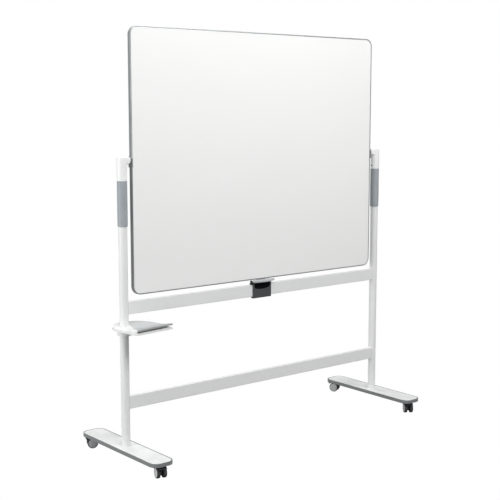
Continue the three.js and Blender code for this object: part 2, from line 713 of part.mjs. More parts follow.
// Flat at the back; toward the front it rises to a hood over a slot that is open at the right.
function trayUpper() {
  const floor = TRAY_BOTTOM + TRAY_PLATE + GAP;
  const [left, right] = [TRAY_CENTRE_X - TRAY_HALF_WIDTH - 1, TRAY_CENTRE_X + TRAY_HALF_WIDTH + 1];
  const under = floor - 1;
  const profile = polygon([
    [TRAY_FRONT, TRAY_LIP], [TRAY_FRONT, TRAY_LIP - 1], [TRAY_FRONT + HOOD_UNDERCUT, SLOT_TOP_LEFT],
    [TRAY_FRONT + HOOD_UNDERCUT, floor], [200, floor], [200, TRAY_TOP], [TRAY_RAMP_START, TRAY_TOP],
  ]);
  const slotBack = TRAY_FRONT + SLOT_DEPTH;
  const slot = new ConvexGeometry([
    [SLOT_LEFT, TRAY_FRONT - 1, under], [SLOT_RIGHT + 1, TRAY_FRONT - 1, under],
    [SLOT_LEFT, slotBack, under], [SLOT_RIGHT + 1, slotBack, under],
    [SLOT_LEFT, TRAY_FRONT - 1, SLOT_TOP_LEFT], [SLOT_RIGHT + 1, TRAY_FRONT - 1, SLOT_TOP_RIGHT],
    [SLOT_LEFT, slotBack, SLOT_TOP_LEFT - 1], [SLOT_RIGHT + 1, slotBack, SLOT_TOP_RIGHT - 2.5],
  ].map((point) => new THREE.Vector3(...point)));
  const plan = prism(trayPlan(), 100, 6).translate(0, 0, floor - 10);
  return cut(common(prismAlongX(profile, left, right), plan), slot, uprightHole());
}

function trayCollar() {
  const top = TRAY_BOTTOM - GAP;
  const ring = barZ(COLLAR_RADIUS, TRAY_BOTTOM - COLLAR_HEIGHT, top, 0, 0, TUBE_SIDES);
  return cut(ring, uprightHole(), barY(3 + GAP, 0, 60, 0, TRAY_BOTTOM - COLLAR_HEIGHT / 2));
}

function trayScrew() {
  const z = TRAY_BOTTOM - COLLAR_HEIGHT / 2;
  const shank = barY(3, TUBE_RADIUS + GAP, COLLAR_RADIUS + 1, 0, z);
  return join(shank, barY(5, COLLAR_RADIUS + GAP, COLLAR_RADIUS + 4, 0, z));
}

addPart(trayGroup, 'tray_collar', trayCollar(), coatWhite);
addPart(trayGroup, 'tray_screw', trayScrew(), steel);
addPart(trayGroup, 'tray_lower', trayLower(), coatWhite);
addPart(trayGroup, 'tray_upper', trayUpper(), trayGrey);

export default group;
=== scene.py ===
# Rolling whiteboard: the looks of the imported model, built round its frame.
# Shapes are drawn in millimetres and placed in metres.

import json
from math import atan2, cos, pi, radians, sin, sqrt

import bmesh
import bpy
from mathutils import Matrix, Vector


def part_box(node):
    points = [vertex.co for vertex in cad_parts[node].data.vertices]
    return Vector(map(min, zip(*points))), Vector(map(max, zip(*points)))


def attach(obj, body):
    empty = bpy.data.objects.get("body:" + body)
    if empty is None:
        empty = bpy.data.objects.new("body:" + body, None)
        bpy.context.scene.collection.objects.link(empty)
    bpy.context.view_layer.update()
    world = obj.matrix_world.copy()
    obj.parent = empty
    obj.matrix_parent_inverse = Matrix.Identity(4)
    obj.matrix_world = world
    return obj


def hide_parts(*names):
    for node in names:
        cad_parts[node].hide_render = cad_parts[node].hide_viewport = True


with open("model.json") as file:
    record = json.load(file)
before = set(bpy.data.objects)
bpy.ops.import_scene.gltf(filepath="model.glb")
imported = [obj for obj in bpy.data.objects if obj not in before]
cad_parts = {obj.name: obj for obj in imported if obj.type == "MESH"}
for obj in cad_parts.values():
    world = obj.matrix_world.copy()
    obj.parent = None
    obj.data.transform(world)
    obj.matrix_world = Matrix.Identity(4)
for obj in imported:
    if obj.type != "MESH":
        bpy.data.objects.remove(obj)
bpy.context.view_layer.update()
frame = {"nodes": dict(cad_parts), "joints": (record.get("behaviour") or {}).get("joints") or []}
scene = bpy.context.scene
MM = 0.001


# ---------- Camera, light and floor ----------

def add_camera():
    """Stands where the photo was taken from: the yaw is from straight ahead, the pitch is downward."""
    yaw, pitch = -39.26, 7.54
    camera = bpy.data.objects.new("camera", bpy.data.cameras.new("camera"))
    camera.data.lens = 75.9
    camera.data.sensor_width = 36
    camera.location = (-3.3173, -3.9767, 1.5958)
    camera.rotation_euler = (radians(90 - pitch), 0, radians(yaw))
    scene.collection.objects.link(camera)
    scene.camera = camera


def add_area_light(name, place, target, size, power):
    light = bpy.data.objects.new(name, bpy.data.lights.new(name, "AREA"))
    light.data.shape = "RECTANGLE"
    light.data.size, light.data.size_y = size
    light.data.energy = power
    light.location = place
    light.rotation_euler = (Vector(target) - Vector(place)).to_track_quat("-Z", "Y").to_euler()
    scene.collection.objects.link(light)


def add_world():
    """A plain white studio: the camera sees white, and the object gets a softer light that grows upward."""
    dim, bright = 0.16, 0.52
    world = bpy.data.worlds.new("studio")
    scene.world = world
    world.use_nodes = True
    nodes, links = world.node_tree.nodes, world.node_tree.links
    nodes.clear()
    coordinates = nodes.new("ShaderNodeTexCoord")
    split = nodes.new("ShaderNodeSeparateXYZ")
    height = nodes.new("ShaderNodeMapRange")
    height.inputs["From Min"].default_value = -0.1
    height.inputs["From Max"].default_value = 0.5
    height.inputs["To Min"].default_value = dim
    height.inputs["To Max"].default_value = bright
    path = nodes.new("ShaderNodeLightPath")
    strength = nodes.new("ShaderNodeMix")
    strength.inputs["B"].default_value = 1
    background = nodes.new("ShaderNodeBackground")
    background.inputs["Color"].default_value = (1, 1, 1, 1)
    output = nodes.new("ShaderNodeOutputWorld")
    links.new(coordinates.outputs["Generated"], split.inputs[0])
    links.new(split.outputs["Z"], height.inputs["Value"])
    links.new(path.outputs["Is Camera Ray"], strength.inputs["Factor"])
    links.new(height.outputs["Result"], strength.inputs["A"])
    links.new(strength.outputs["Result"], background.inputs["Strength"])
    links.new(background.outputs[0], output.inputs["Surface"])


def add_floor():
    """A plain floor that the camera sees as white and that bounces a softer light."""
    mesh = bpy.data.meshes.new("floor")
    reach = 30
    corners = [(-reach, -reach, 0), (reach, -reach, 0), (reach, reach, 0), (-reach, reach, 0)]
    mesh.from_pydata(corners, [], [(0, 1, 2, 3)])
    floor = bpy.data.objects.new("floor", mesh)
    scene.collection.objects.link(floor)
    material = bpy.data.materials.new("floor")
    material.use_nodes = True
    nodes, links = material.node_tree.nodes, material.node_tree.links
    shader = nodes["Principled BSDF"]
    shader.inputs["Base Color"].default_value = (0.32, 0.32, 0.32, 1)
    shader.inputs["Roughness"].default_value = 0.9
    seen = nodes.new("ShaderNodeEmission")
    path = nodes.new("ShaderNodeLightPath")
    mix = nodes.new("ShaderNodeMixShader")
    links.new(path.outputs["Is Camera Ray"], mix.inputs[0])
    links.new(shader.outputs[0], mix.inputs[1])
    links.new(seen.outputs[0], mix.inputs[2])
    links.new(mix.outputs[0], nodes["Material Output"].inputs["Surface"])
    mesh.materials.append(material)


scene.view_settings.view_transform = "Standard"
add_camera()
add_world()
add_floor()
add_area_light("key", (0, -2.6, 3.6), (0, 0, 1.65), (5.0, 1.4), 133)
add_area_light("left", (-4.8, 0.9, 1.7), (-0.8, 0, 1.1), (2.2, 2.8), 120)
add_area_light("back", (0.5, 4.0, 3.4), (0, 0, 1.2), (4.0, 1.6), 60)


# ---------- Materials ----------

class Shader:
    """A Principled material under construction, with short calls for its texture nodes."""

    def __init__(self, name, colour, roughness, metallic=0.0):
        self.material = bpy.data.materials.new(name)
        self.material.use_nodes = True
        self.tree = self.material.node_tree
        self.principled = self.tree.nodes["Principled BSDF"]
        self.colour = colour
        self.roughness = roughness
        self.principled.inputs["Metallic"].default_value = metallic
        coordinates = self.tree.nodes.new("ShaderNodeTexCoord")
        self.position = coordinates.outputs["Object"]

    def link(self, output, node, name):
        self.tree.links.new(output, node.inputs[name])

    def stretched(self, scale):
        """Object coordinates scaled unevenly, for streaks."""
        mapping = self.tree.nodes.new("ShaderNodeMapping")
        mapping.inputs["Scale"].default_value = scale
        self.link(self.position, mapping, "Vector")
        return mapping.outputs["Vector"]

    def noise(self, scale, detail=3.0, vector=None):
        node = self.tree.nodes.new("ShaderNodeTexNoise")
        node.inputs["Scale"].default_value = scale
        node.inputs["Detail"].default_value = detail
        self.link(vector or self.position, node, "Vector")
        return node.outputs["Fac"]

    def remap(self, value, low, high, start=0.3, end=0.7):
        node = self.tree.nodes.new("ShaderNodeMapRange")
        node.inputs["From Min"].default_value = start
        node.inputs["From Max"].default_value = end
        node.inputs["To Min"].default_value = low
        node.inputs["To Max"].default_value = high
        self.link(value, node, "Value")
        return node.outputs["Result"]

    def mix(self, factor, a, b):
        """A colour between a and b; each is a colour or an output."""
        node = self.tree.nodes.new("ShaderNodeMix")
        node.data_type = "RGBA"
        self.link(factor, node, "Factor")
        for name, value in (("A", a), ("B", b)):
            if isinstance(value, (tuple, list)):
                node.inputs[name].default_value = (*value, 1)
            else:
                self.link(value, node, name)
        return node.outputs["Result"]

    def vary_colour(self, factor, change):
        """The colour, lighter or darker by the change where the factor is 1."""
        other = tuple(min(1, max(0, c * (1 + change))) for c in self.colour)
        self.link(self.mix(factor, self.colour, other), self.principled, "Base Color")

    def vary_roughness(self, value, change):
        low, high = self.roughness - change, self.roughness + change
        self.link(self.remap(value, low, high), self.principled, "Roughness")

    def bump(self, height, distance, strength=1.0):
        node = self.tree.nodes.new("ShaderNodeBump")
        node.inputs["Distance"].default_value = distance
        node.inputs["Strength"].default_value = strength
        self.link(height, node, "Height")
        self.link(node.outputs["Normal"], self.principled, "Normal")


def enamel():
    """Fired enamel on steel: hard gloss, faintly wavy, with wiped smears."""
    s = Shader("enamel", (0.86, 0.865, 0.855), 0.16)
    smears = s.noise(1.0, 5.0, s.stretched((1.2, 1.2, 3.4)))
    s.vary_colour(s.remap(smears, 0, 1, 0.35, 0.75), -0.02)
    s.vary_roughness(smears, 0.05)
    s.bump(s.noise(60.0, 2.0), 0.00002, 0.5)
    return s.material


def coat(name, colour, roughness=0.38, grain=900.0):
    """Powder coat: an even colour with fine orange peel."""
    s = Shader(name, colour, roughness)
    s.vary_colour(s.remap(s.noise(3.0, 4.0), 0, 1), -0.035)
    s.vary_roughness(s.noise(14.0, 3.0), 0.06)
    s.bump(s.noise(grain, 2.0), 0.00004, 0.6)
    return s.material


def moulded(name, colour, roughness, grain=1400.0, depth=0.00005):
    """Moulded plastic with spark-eroded grain and slight handling marks."""
    s = Shader(name, colour, roughness)
    marks = s.noise(22.0, 5.0)
    s.vary_colour(s.remap(marks, 0, 1, 0.4, 0.75), 0.09)
    s.vary_roughness(marks, 0.07)
    s.bump(s.noise(grain, 3.0), depth, 0.7)
    return s.material


def painted_shade_black():
    """Matt near-black with almost no shine: painted shade, for the sheet laid in the latch's scoop where the
    recess is in shadow.
    """
    s = Shader("painted_shade_black", (0.004, 0.004, 0.0045), 0.85)
    s.principled.inputs["Specular IOR Level"].default_value = 0.08
    grain = s.noise(900.0, 3.0)
    s.vary_colour(s.remap(grain, 0, 1), 0.5)
    s.vary_roughness(grain, 0.1)
    s.bump(grain, 0.00005, 0.6)
    return s.material


def brushed(name, colour, roughness, scale, metallic=1.0):
    """Metal with fine lines; the scale is smallest along them."""
    s = Shader(name, colour, roughness, metallic)
    lines = s.noise(1.0, 4.0, s.stretched(scale))
    s.vary_colour(s.remap(lines, 0, 1, 0.35, 0.65), -0.12)
    s.vary_roughness(lines, 0.07)
    s.bump(lines, 0.00002, 0.6)
    return s.material


def tyre():
    """Dark polyurethane with pale scuffs."""
    s = Shader("tyre", (0.032, 0.034, 0.037), 0.55)
    scuffs = s.noise(120.0, 6.0)
    s.vary_colour(s.remap(scuffs, 0, 1, 0.5, 0.72), 0.6)
    s.vary_roughness(scuffs, 0.12)
    s.bump(s.noise(500.0, 4.0), 0.0001, 0.8)
    return s.material


def honeycomb():
    """Cut edge and face of a paper core."""
    s = Shader("core_board", (0.45, 0.32, 0.18), 0.85)
    cells = s.tree.nodes.new("ShaderNodeTexVoronoi")
    cells.feature = "DISTANCE_TO_EDGE"
    cells.inputs["Scale"].default_value = 80.0
    s.link(s.position, cells, "Vector")
    s.vary_colour(s.remap(cells.outputs["Distance"], 1, 0, 0.02, 0.12), -0.5)
    s.vary_roughness(s.noise(30.0), 0.08)
    s.bump(cells.outputs["Distance"], 0.0005)
    return s.material


MATERIALS = {
    "enamel": enamel(),
    "frame_grey": brushed("frame_grey", (0.44, 0.455, 0.465), 0.34, (14.0, 700.0, 14.0), 0.75),
    "core_board": honeycomb(),
    "white_coat": coat("white_coat", (0.78, 0.785, 0.785)),
    "white_plastic": moulded("white_plastic", (0.8, 0.805, 0.8), 0.36, 1000.0, 0.00003),
    "grip_grey": moulded("grip_grey", (0.31, 0.338, 0.36), 0.5, 1100.0, 0.00012),
    "foot_grey": coat("foot_grey", (0.2, 0.21, 0.215), 0.42, 800.0),
    "steel": brushed("steel", (0.6, 0.61, 0.62), 0.3, (900.0, 900.0, 40.0)),
    "dark_steel": brushed("dark_steel", (0.07, 0.07, 0.075), 0.35, (900.0, 900.0, 40.0), 0.8),
    "anthracite": moulded("anthracite", (0.052, 0.056, 0.06), 0.5),
    "black_plastic": moulded("black_plastic", (0.008, 0.008, 0.009), 0.42),
    # Painted shade: a near-black with no shine for the shadow in the latch's scoop.
    "painted_shade_black": painted_shade_black(),
    "cover_white": moulded("cover_white", (0.73, 0.74, 0.735), 0.4, 1000.0, 0.00001),
    "hood_black": moulded("hood_black", (0.012, 0.013, 0.014), 0.42),
    "paddle_grey": moulded("paddle_grey", (0.44, 0.45, 0.46), 0.42),
    "black_rubber": moulded("black_rubber", (0.015, 0.015, 0.016), 0.8, 700.0, 0.0002),
    "wheel_grey": moulded("wheel_grey", (0.56, 0.565, 0.575), 0.4),
    "tyre": tyre(),
    "tray_grey": moulded("tray_grey", (0.5, 0.515, 0.52), 0.42, 1200.0, 0.00006),
}


# ---------- Mesh helpers ----------

def add_piece(name, bm, body, slot, replaced=(), place=None, material=None, sharp=40):
    """Turns a shape drawn in millimetres into a piece in metres. The material defaults to the slot's."""
    bmesh.ops.recalc_face_normals(bm, faces=bm.faces[:])
    mesh = bpy.data.meshes.new(name)
    bm.to_mesh(mesh)
    bm.free()
    mesh.transform((place or Matrix.Identity(4)) @ Matrix.Scale(MM, 4))
    mesh.shade_smooth()
    mesh.set_sharp_from_angle(angle=radians(sharp))
    piece = bpy.data.objects.new(name, mesh)
    scene.collection.objects.link(piece)
    mesh.materials.append(MATERIALS[material or slot])
    weighting = piece.modifiers.new("normals", "WEIGHTED_NORMAL")
    weighting.keep_sharp = True
    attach(piece, body)
    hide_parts(*replaced)


def loft(rings, closed=False):
    """A skin over rings of equal length. Closed joins the last ring to the first, or else both are capped."""
    bm = bmesh.new()
    layers = [[bm.verts.new(point) for point in ring] for ring in rings]
    count = len(rings[0])
    pairs = list(zip(layers, layers[1:]))
    if closed:
        pairs.append((layers[-1], layers[0]))
    for low, high in pairs:
        for i in range(count):
            j = (i + 1) % count
            bm.faces.new((low[i], low[j], high[j], high[i]))
    if not closed:
        bm.faces.new(layers[0])
        bm.faces.new(layers[-1])
    return bm


def circle(radius, z, count):
    step = 2 * pi / count
    return [(radius * cos(i * step), radius * sin(i * step), z) for i in range(count)]


def turned(profile, count=64, closed=True):
    """A profile of (radius, z) turned about the Z axis."""
    return loft([circle(r, z, count) for r, z in profile], closed)


def rounded_rectangle(width, height, radius, z, per_corner):
    """Points of the outline, anticlockwise from the upper end of the right side."""
    points = []
    corners = [(1, 1), (-1, 1), (-1, -1), (1, -1)]
    for quarter, (sx, sy) in enumerate(corners):
        cx, cy = sx * (width / 2 - radius), sy * (height / 2 - radius)
        for i in range(per_corner + 1):
            angle = pi / 2 * (quarter + i / per_corner)
            points.append((cx + radius * cos(angle), cy + radius * sin(angle), z))
    return points


def arc(centre, radius, start, end, count):
    """Points (x, y) on an arc, angles in degrees."""
    return [
        (
            centre[0] + radius * cos(radians(start + (end - start) * i / count)),
            centre[1] + radius * sin(radians(start + (end - start) * i / count)),
        )
        for i in range(count + 1)
    ]


def rounded(points, radius, count=5):
    """A closed outline of (x, y) corners, each turned into an arc. radius may be a list."""
    radii = radius if isinstance(radius, (list, tuple)) else [radius] * len(points)
    result = []
    for i, corner in enumerate(points):
        here = Vector(corner)
        before = (Vector(points[i - 1]) - here).normalized()
        after = (Vector(points[(i + 1) % len(points)]) - here).normalized()
        half = before.angle(after) / 2
        if radii[i] <= 0:
            result.append(tuple(here))
            continue
        reach = radii[i] / (sin(half) / cos(half))
        start, end = here + before * reach, here + after * reach
        centre = here + (before + after).normalized() * (radii[i] / sin(half))
        a = atan2(*(start - centre).yx)
        turn = (atan2(*(end - centre).yx) - a + pi) % (2 * pi) - pi
        for k in range(count + 1):
            angle = a + turn * k / count
            result.append((centre.x + radii[i] * cos(angle), centre.y + radii[i] * sin(angle)))
    return result


def prism(outline, low, high, axis="z", edge=0.0):
    """An outline pushed from low to high along an axis, its sharp edges rounded by the edge's width.

    The outline is drawn as (x, y) for z, (x, z) for y and (y, z) for x.
    """
    orders = {
        "z": lambda a, b, t: (a, b, t),
        "y": lambda a, b, t: (a, t, b),
        "x": lambda a, b, t: (t, a, b),
    }
    bm = loft([[orders[axis](a, b, t) for a, b in outline] for t in (low, high)])
    bmesh.ops.recalc_face_normals(bm, faces=bm.faces[:])
    if edge > 0:
        round_edges(bm, edge)
    return bm


def round_edges(bm, width, segments=3, angle=40):
    """Bevels every edge that turns by more than the angle."""
    edges = [e for e in bm.edges if len(e.link_faces) == 2 and e.calc_face_angle(0) > radians(angle)]
    bmesh.ops.bevel(
        bm, geom=edges, offset=width, segments=segments, profile=0.5, affect="EDGES", clamp_overlap=True,
    )


def combine(bm, other, operation):
    """Joins or cuts two shapes exactly; both are used up."""
    made = []
    for shape in (bm, other):
        bmesh.ops.recalc_face_normals(shape, faces=shape.faces[:])
        mesh = bpy.data.meshes.new("scratch")
        shape.to_mesh(mesh)
        shape.free()
        thing = bpy.data.objects.new("scratch", mesh)
        scene.collection.objects.link(thing)
        made.append(thing)
    modifier = made[0].modifiers.new("boolean", "BOOLEAN")
    modifier.object = made[1]
    modifier.operation = operation
    modifier.solver = "EXACT"
    evaluated = made[0].evaluated_get(bpy.context.evaluated_depsgraph_get())
    result = bmesh.new()
    result.from_mesh(evaluated.to_mesh())
    for thing in made:
        mesh = thing.data
        bpy.data.objects.remove(thing)
        bpy.data.meshes.remove(mesh)
    return result


def union(bm, *others):
    for other in others:
        bm = combine(bm, other, "UNION")
    return bm


def cut(bm, *others):
    for other in others:
        bm = combine(bm, other, "DIFFERENCE")
    return bm


def rod(radius, low, high, axis="z", at=(0, 0), count=32, edge=0.0):
    """A round bar along an axis; at gives its place in the other two."""
    ring = [(at[0] + x, at[1] + y) for x, y, _ in circle(radius, 0, count)]
    return prism(ring, low, high, axis, edge)


def slab_box(low, high):
    corners = [(low[0], low[1]), (high[0], low[1]), (high[0], high[1]), (low[0], high[1])]
    return prism(corners, low[2], high[2])


def about_x(profile, height, count, closed=False):
    """A profile of (x, radius) turned about a line along X, over the origin at the height."""
    angles = [2 * pi * i / count for i in range(count)]
    return loft([[(x, r * cos(a), height + r * sin(a)) for a in angles] for x, r in profile], closed)


def about_y(profile, height, count):
    """A profile of (y, radius) turned about a line along Y, over the origin at the height."""
    angles = [2 * pi * i / count for i in range(count)]
    return loft([[(r * cos(a), y, height + r * sin(a)) for a in angles] for y, r in profile])


def millimetres(node):
    """A CAD node's lowest and highest corners in millimetres."""
    low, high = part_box(node)
    return low / MM, high / MM


SIDES = (("left", -1), ("right", 1))
# The height of the board's axis, the distance of each upright's axis from the middle, and the
# radii of the holes that take an upright and a pivot pin.
PIVOT = sum(corner.z for corner in millimetres("pivot_pin_left")) / 2
UPRIGHT_X = 800.0
TUBE_HOLE = 20.3
PIVOT_HOLE = 4.3


def mirrored(sign):
    """Leaves a shape drawn for the right side in place, or turns it half round the Z axis for the left."""
    return Matrix.Identity(4) if sign > 0 else Matrix.Rotation(pi, 4, "Z")


def span_x(node, sign):
    """How near the middle plane a node begins and how far out it ends."""
    low, high = millimetres(node)
    return (low.x, high.x) if sign > 0 else (-high.x, -low.x)


# ---------- Board ----------

BOARD_CORNER, SHEET_CORNER, SHEET_THICKNESS = 40.0, 34.7, 0.5


def board_rings(node, corner, levels):
    """The node's outline in the board's plane, drawn in by each inset and set at each depth."""
    low, high = millimetres(node)
    width, height, centre = high.x - low.x, high.z - low.z, (high.z + low.z) / 2
    return [
        [
            (x, depth, z + centre)
            for x, z, _ in rounded_rectangle(width - 2 * inset, height - 2 * inset, corner - inset, 0, 18)
        ]
        for inset, depth in levels
    ]


def board_frame():
    """A bent profile: rounded lips, a shallow channel outside, a groove for the core inside."""
    outer = millimetres("board_frame")[1].y
    rim, lip, groove, groove_end = 5.0, 1.3, 5.2, 2.4
    channel, channel_floor, channel_depth = 5.4, 4.8, 0.6
    section = [
        (rim, -outer + 0.5), (rim - 0.5, -outer), (lip + 0.6, -outer), (0.5, -outer + 0.45),
        (0, -outer + lip), (0, -channel), (channel_depth, -channel_floor),
        (channel_depth, channel_floor), (0, channel), (0, outer - lip),
        (0.5, outer - 0.45), (lip + 0.6, outer), (rim - 0.5, outer), (rim, outer - 0.5),
        (rim, groove), (groove_end, groove), (groove_end, -groove), (rim, -groove),
    ]
    shape = loft(board_rings("board_frame", BOARD_CORNER, section), closed=True)
    add_piece("frame", shape, "board", "frame_grey", ["board_frame"], sharp=30)


def writing_sheet(node, front):
    """A thin steel sheet with a softened edge; front is -1 for the face that looks forward."""
    low, high = millimetres(node)
    face, back = (low.y, high.y) if front < 0 else (high.y, low.y)
    inward = (back - face) / SHEET_THICKNESS
    levels = [(0, back), (0, face + 0.25 * inward), (0.12, face + 0.06 * inward), (0.35, face)]
    add_piece(f"{node}_sheet", loft(board_rings(node, SHEET_CORNER, levels)), "board", "enamel", [node])


def pivot_bracket(name, sign):
    """A clip wrapped round the frame's edge, its upper corners cut off."""
    low, high = millimetres(f"pivot_bracket_{name}")
    inner, outer = span_x(f"pivot_bracket_{name}", sign)
    depth, bottom, top = high.y, low.z, high.z
    bevel_in, bevel_down = 5, 8
    outline = rounded(
        [
            (-depth, bottom), (depth, bottom), (depth, top - bevel_down), (depth - bevel_in, top),
            (bevel_in - depth, top), (-depth, top - bevel_down),
        ],
        [1.5, 1.5, 5, 5, 5, 5],
    )
    body = prism(outline, inner, outer, "x", 0.9)
    web, frame_half = outer - 2.2, 10.25
    channel = slab_box((0, -frame_half, bottom - 1), (web, frame_half, top + 1))
    seat = rod(9.5, outer - 0.5, outer + 1, "x", (0, PIVOT), 48)
    hole = rod(PIVOT_HOLE, web - 1, outer + 1, "x", (0, PIVOT), 32)
    shape = cut(body, channel, seat, hole)
    add_piece(
        f"bracket_{name}", shape, "board", "frame_grey", [f"pivot_bracket_{name}"], mirrored(sign),
    )


def pivot_pin(name, sign):
    """A steel pin, and a washer between the bracket and the pivot head whose dark colour also paints the
    shadow in the gap there.
    """
    inner, outer = span_x(f"pivot_pin_{name}", sign)
    radius = 4.0
    profile = [(inner, radius - 0.6), (inner + 0.6, radius), (outer - 1, radius), (outer, radius - 1)]
    add_piece(
        f"pin_{name}", about_x(profile, PIVOT, 40), "board", "steel", [f"pivot_pin_{name}"],
        mirrored(sign),
    )
    # The washer is partly painted shade: its dark steel stands for the shadow between the bracket and the
    # head's boss.
    gap, bore, rim = 0.3, 4.05, 8
    start = span_x(f"pivot_bracket_{name}", sign)[1] + gap
    end = span_x(f"pivot_head_{name}", sign)[0] - gap
    profile = [
        (start, bore), (start, rim - 0.5), (start + 0.5, rim), (end - 0.5, rim), (end, rim - 0.5),
        (end, bore),
    ]
    add_piece(
        f"washer_{name}", about_x(profile, PIVOT, 40, closed=True), "board", "dark_steel",
        [f"pivot_pin_{name}"], mirrored(sign), sharp=30,
    )


board_frame()
writing_sheet("front_panel", -1)
writing_sheet("rear_panel", 1)
for side, sign in SIDES:
    pivot_bracket(side, sign)
    pivot_pin(side, sign)


# ---------- Stand ----------

def upright(name):
    low, high = millimetres(f"upright_{name}")
    wall = 2
    outer = (high.x - low.x) / 2
    inner = outer - wall
    shape = turned([
        (inner, low.z), (outer - 0.4, low.z), (outer, low.z + 0.4),
        (outer, high.z - 0.4), (outer - 0.4, high.z), (inner, high.z),
    ])
    place = Matrix.Translation(((high.x + low.x) / 2 * MM, 0, 0))
    add_piece(f"tube_{name}", shape, "stand", "white_coat", [f"upright_{name}"], place)


def grip(name):
    """A soft sleeve with a group of shallow grooves at each end."""
    low, high = millimetres(f"grip_{name}")
    outer = (high.x - low.x) / 2
    bottom, top = low.z, high.z
    offsets = [7, 13, 19, 25]
    grooves = [bottom + s for s in offsets] + [top - s for s in reversed(offsets)]
    floor = outer - 0.55
    profile = [
        (TUBE_HOLE, bottom), (outer - 1.2, bottom), (outer - 0.35, bottom + 0.35), (outer, bottom + 1.2),
    ]
    for z in grooves:
        profile += [(outer, z - 1.4), (floor, z - 0.8), (floor, z + 0.8), (outer, z + 1.4)]
    profile += [(outer, top - 1.2), (outer - 0.35, top - 0.35), (outer - 1.2, top), (TUBE_HOLE, top)]
    place = Matrix.Translation(((high.x + low.x) / 2 * MM, 0, 0))
    add_piece(f"sleeve_{name}", turned(profile), "stand", "grip_grey", [f"grip_{name}"], place, sharp=60)


def pivot_head(name, sign):
    """A cap on the tube with a boss that narrows toward the board and holds the pivot pin."""
    low, high = millimetres(f"pivot_head_{name}")
    end = span_x(f"pivot_head_{name}", sign)[0]
    radius = high.y
    top, bottom = high.z, low.z
    cap = turned([
        (TUBE_HOLE, bottom), (radius - 0.6, bottom), (radius, bottom + 0.6), (radius, top - 3),
        (radius - 0.9, top - 0.9), (radius - 3, top),
    ], 72, closed=False)
    bmesh.ops.translate(cap, verts=cap.verts[:], vec=(UPRIGHT_X, 0, 0))
    root, crown = UPRIGHT_X - 6, top - 0.02
    steps = 16
    sections = []
    for i in range(steps + 1):
        t = i / steps
        x = end + (root - end) * t
        flare = max(0.0, (t - 0.3) / 0.7)
        under = PIVOT - 8 - 20 * flare ** 2.2
        half_depth = 14.6 + 4.5 * flare ** 2
        # The boss's end is drawn in, so that it closes softly.
        inset = 2.2 * max(0.0, 1 - t * 9)
        side, low_z, high_z = half_depth - inset, under + inset, crown - inset
        outline = rounded(
            [(-side, low_z), (side, low_z), (side, high_z), (-side, high_z)], [10, 10, 6.5, 6.5], 8,
        )
        sections.append([(x, y, z) for y, z in outline])
    shape = union(cap, loft(sections))
    bore_depth, pin_hole_end = 45.3, UPRIGHT_X - 11.7
    bore = rod(TUBE_HOLE, bottom - 1, bottom + bore_depth, "z", (UPRIGHT_X, 0), 72)
    pin_hole = rod(PIVOT_HOLE, end - 1, pin_hole_end, "x", (0, PIVOT), 40)
    shape = cut(shape, bore, pin_hole)
    add_piece(
        f"head_{name}", shape, "stand", "white_plastic", [f"pivot_head_{name}"], mirrored(sign), sharp=32,
    )


def head_screw(name, sign):
    """A small pan head with a hexagon socket."""
    low, high = millimetres(f"head_screw_{name}")
    tip = span_x(f"head_screw_{name}", sign)[0]
    middle = (low.z + high.z) / 2
    length, shank, head_end, head = 9, 2.9, 1.7, 4
    profile = [
        (tip + length, shank), (tip + head_end, shank), (tip + head_end, head), (tip + 0.7, head),
        (tip + 0.15, 3.4), (tip, 2.4),
    ]
    socket = rod(1.7, tip - 1, tip + 1.4, "x", (0, middle), 6)
    add_piece(
        f"screw_{name}", cut(about_x(profile, middle, 36), socket), "stand", "dark_steel",
        [f"head_screw_{name}"], mirrored(sign), sharp=30,
    )


def crossbar(node):
    """A rectangular tube with rolled corners, its ends coped to the round uprights."""
    low, high = millimetres(node)
    half, bottom, top = high.y, low.z, high.z
    outside = rounded([(-half, bottom), (half, bottom), (half, top), (-half, top)], 2.6, 6)
    wall, end_gap = 2.0, 0.3
    inside = rounded(
        [
            (wall - half, bottom + wall), (half - wall, bottom + wall), (half - wall, top - wall),
            (wall - half, top - wall),
        ],
        1.0, 6,
    )

    def ring(outline, sign):
        return [(sign * (UPRIGHT_X - sqrt(TUBE_HOLE ** 2 - y * y) - end_gap), y, z) for y, z in outline]

    rings = [ring(outside, -1), ring(outside, 1), ring(inside, 1), ring(inside, -1)]
    add_piece(f"{node}_tube", loft(rings, closed=True), "stand", "white_coat", [node])


for side, sign in SIDES:
    upright(side)
    grip(side)
    pivot_head(side, sign)
    head_screw(side, sign)
crossbar("crossbar_upper")
crossbar("crossbar_lower")


# ---------- Feet ----------

FOOT_CORNER = 38.0


def foot_levels(width, length, levels):
    """The foot's outline, drawn in by each inset and set at each height."""
    return [
        rounded_rectangle(width - 2 * inset, length - 2 * inset, FOOT_CORNER - inset, z, 15)
        for inset, z in levels
    ]


def hole_ring(radius, z, count):
    """A round hole with as many points as a foot's outline, starting at the right like it."""
    step = 2 * pi / count
    first = step / 2
    return [(radius * cos(first + i * step), radius * sin(first + i * step), z) for i in range(count)]


